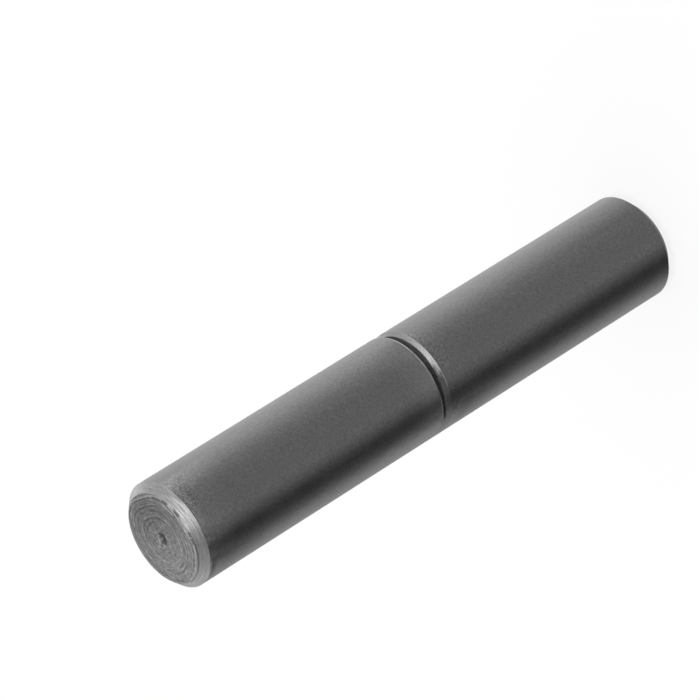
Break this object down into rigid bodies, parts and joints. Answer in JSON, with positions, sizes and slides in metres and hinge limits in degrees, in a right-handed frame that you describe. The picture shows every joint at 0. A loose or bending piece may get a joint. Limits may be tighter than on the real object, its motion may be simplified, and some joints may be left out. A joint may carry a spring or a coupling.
{
  "type": "weld on barrel hinge",
  "caption": "Weld-on barrel hinge of turned steel: the upper barrel turns on the lower barrel's pressed pin, rests on a ball and lifts off.",
  "frame": {"origin": "centre of the lower barrel's outer end face, on the hinge axis", "axes": "+Z along the hinge axis, from the lower barrel with the fixed pin to the upper barrel that lifts off; X and Y lie across the round barrels and are alike"},
  "size_m": [0.024, 0.024, 0.14],
  "materials": {
    "barrel_steel": "satin mill scale, turned ends",
    "pin_steel": "ground",
    "ball_steel": "polished"
  },
  "bodies": {
    "lower": {"lower_barrel": "barrel_steel", "hinge_pin": "pin_steel"},
    "ball": {"thrust_ball": "ball_steel"},
    "upper": {"upper_barrel": "barrel_steel"}
  },
  "joints": [
    {"name": "swivel", "type": "hinge", "parent": "lower", "child": "ball", "pos_m": [0, 0, 0.11505], "axis": [0, 0, 1], "continuous": true},
    {"name": "lift_off", "type": "slide", "parent": "ball", "child": "upper", "axis": [0, 0, 1], "range_m": [0, 0.05]}
  ]
}
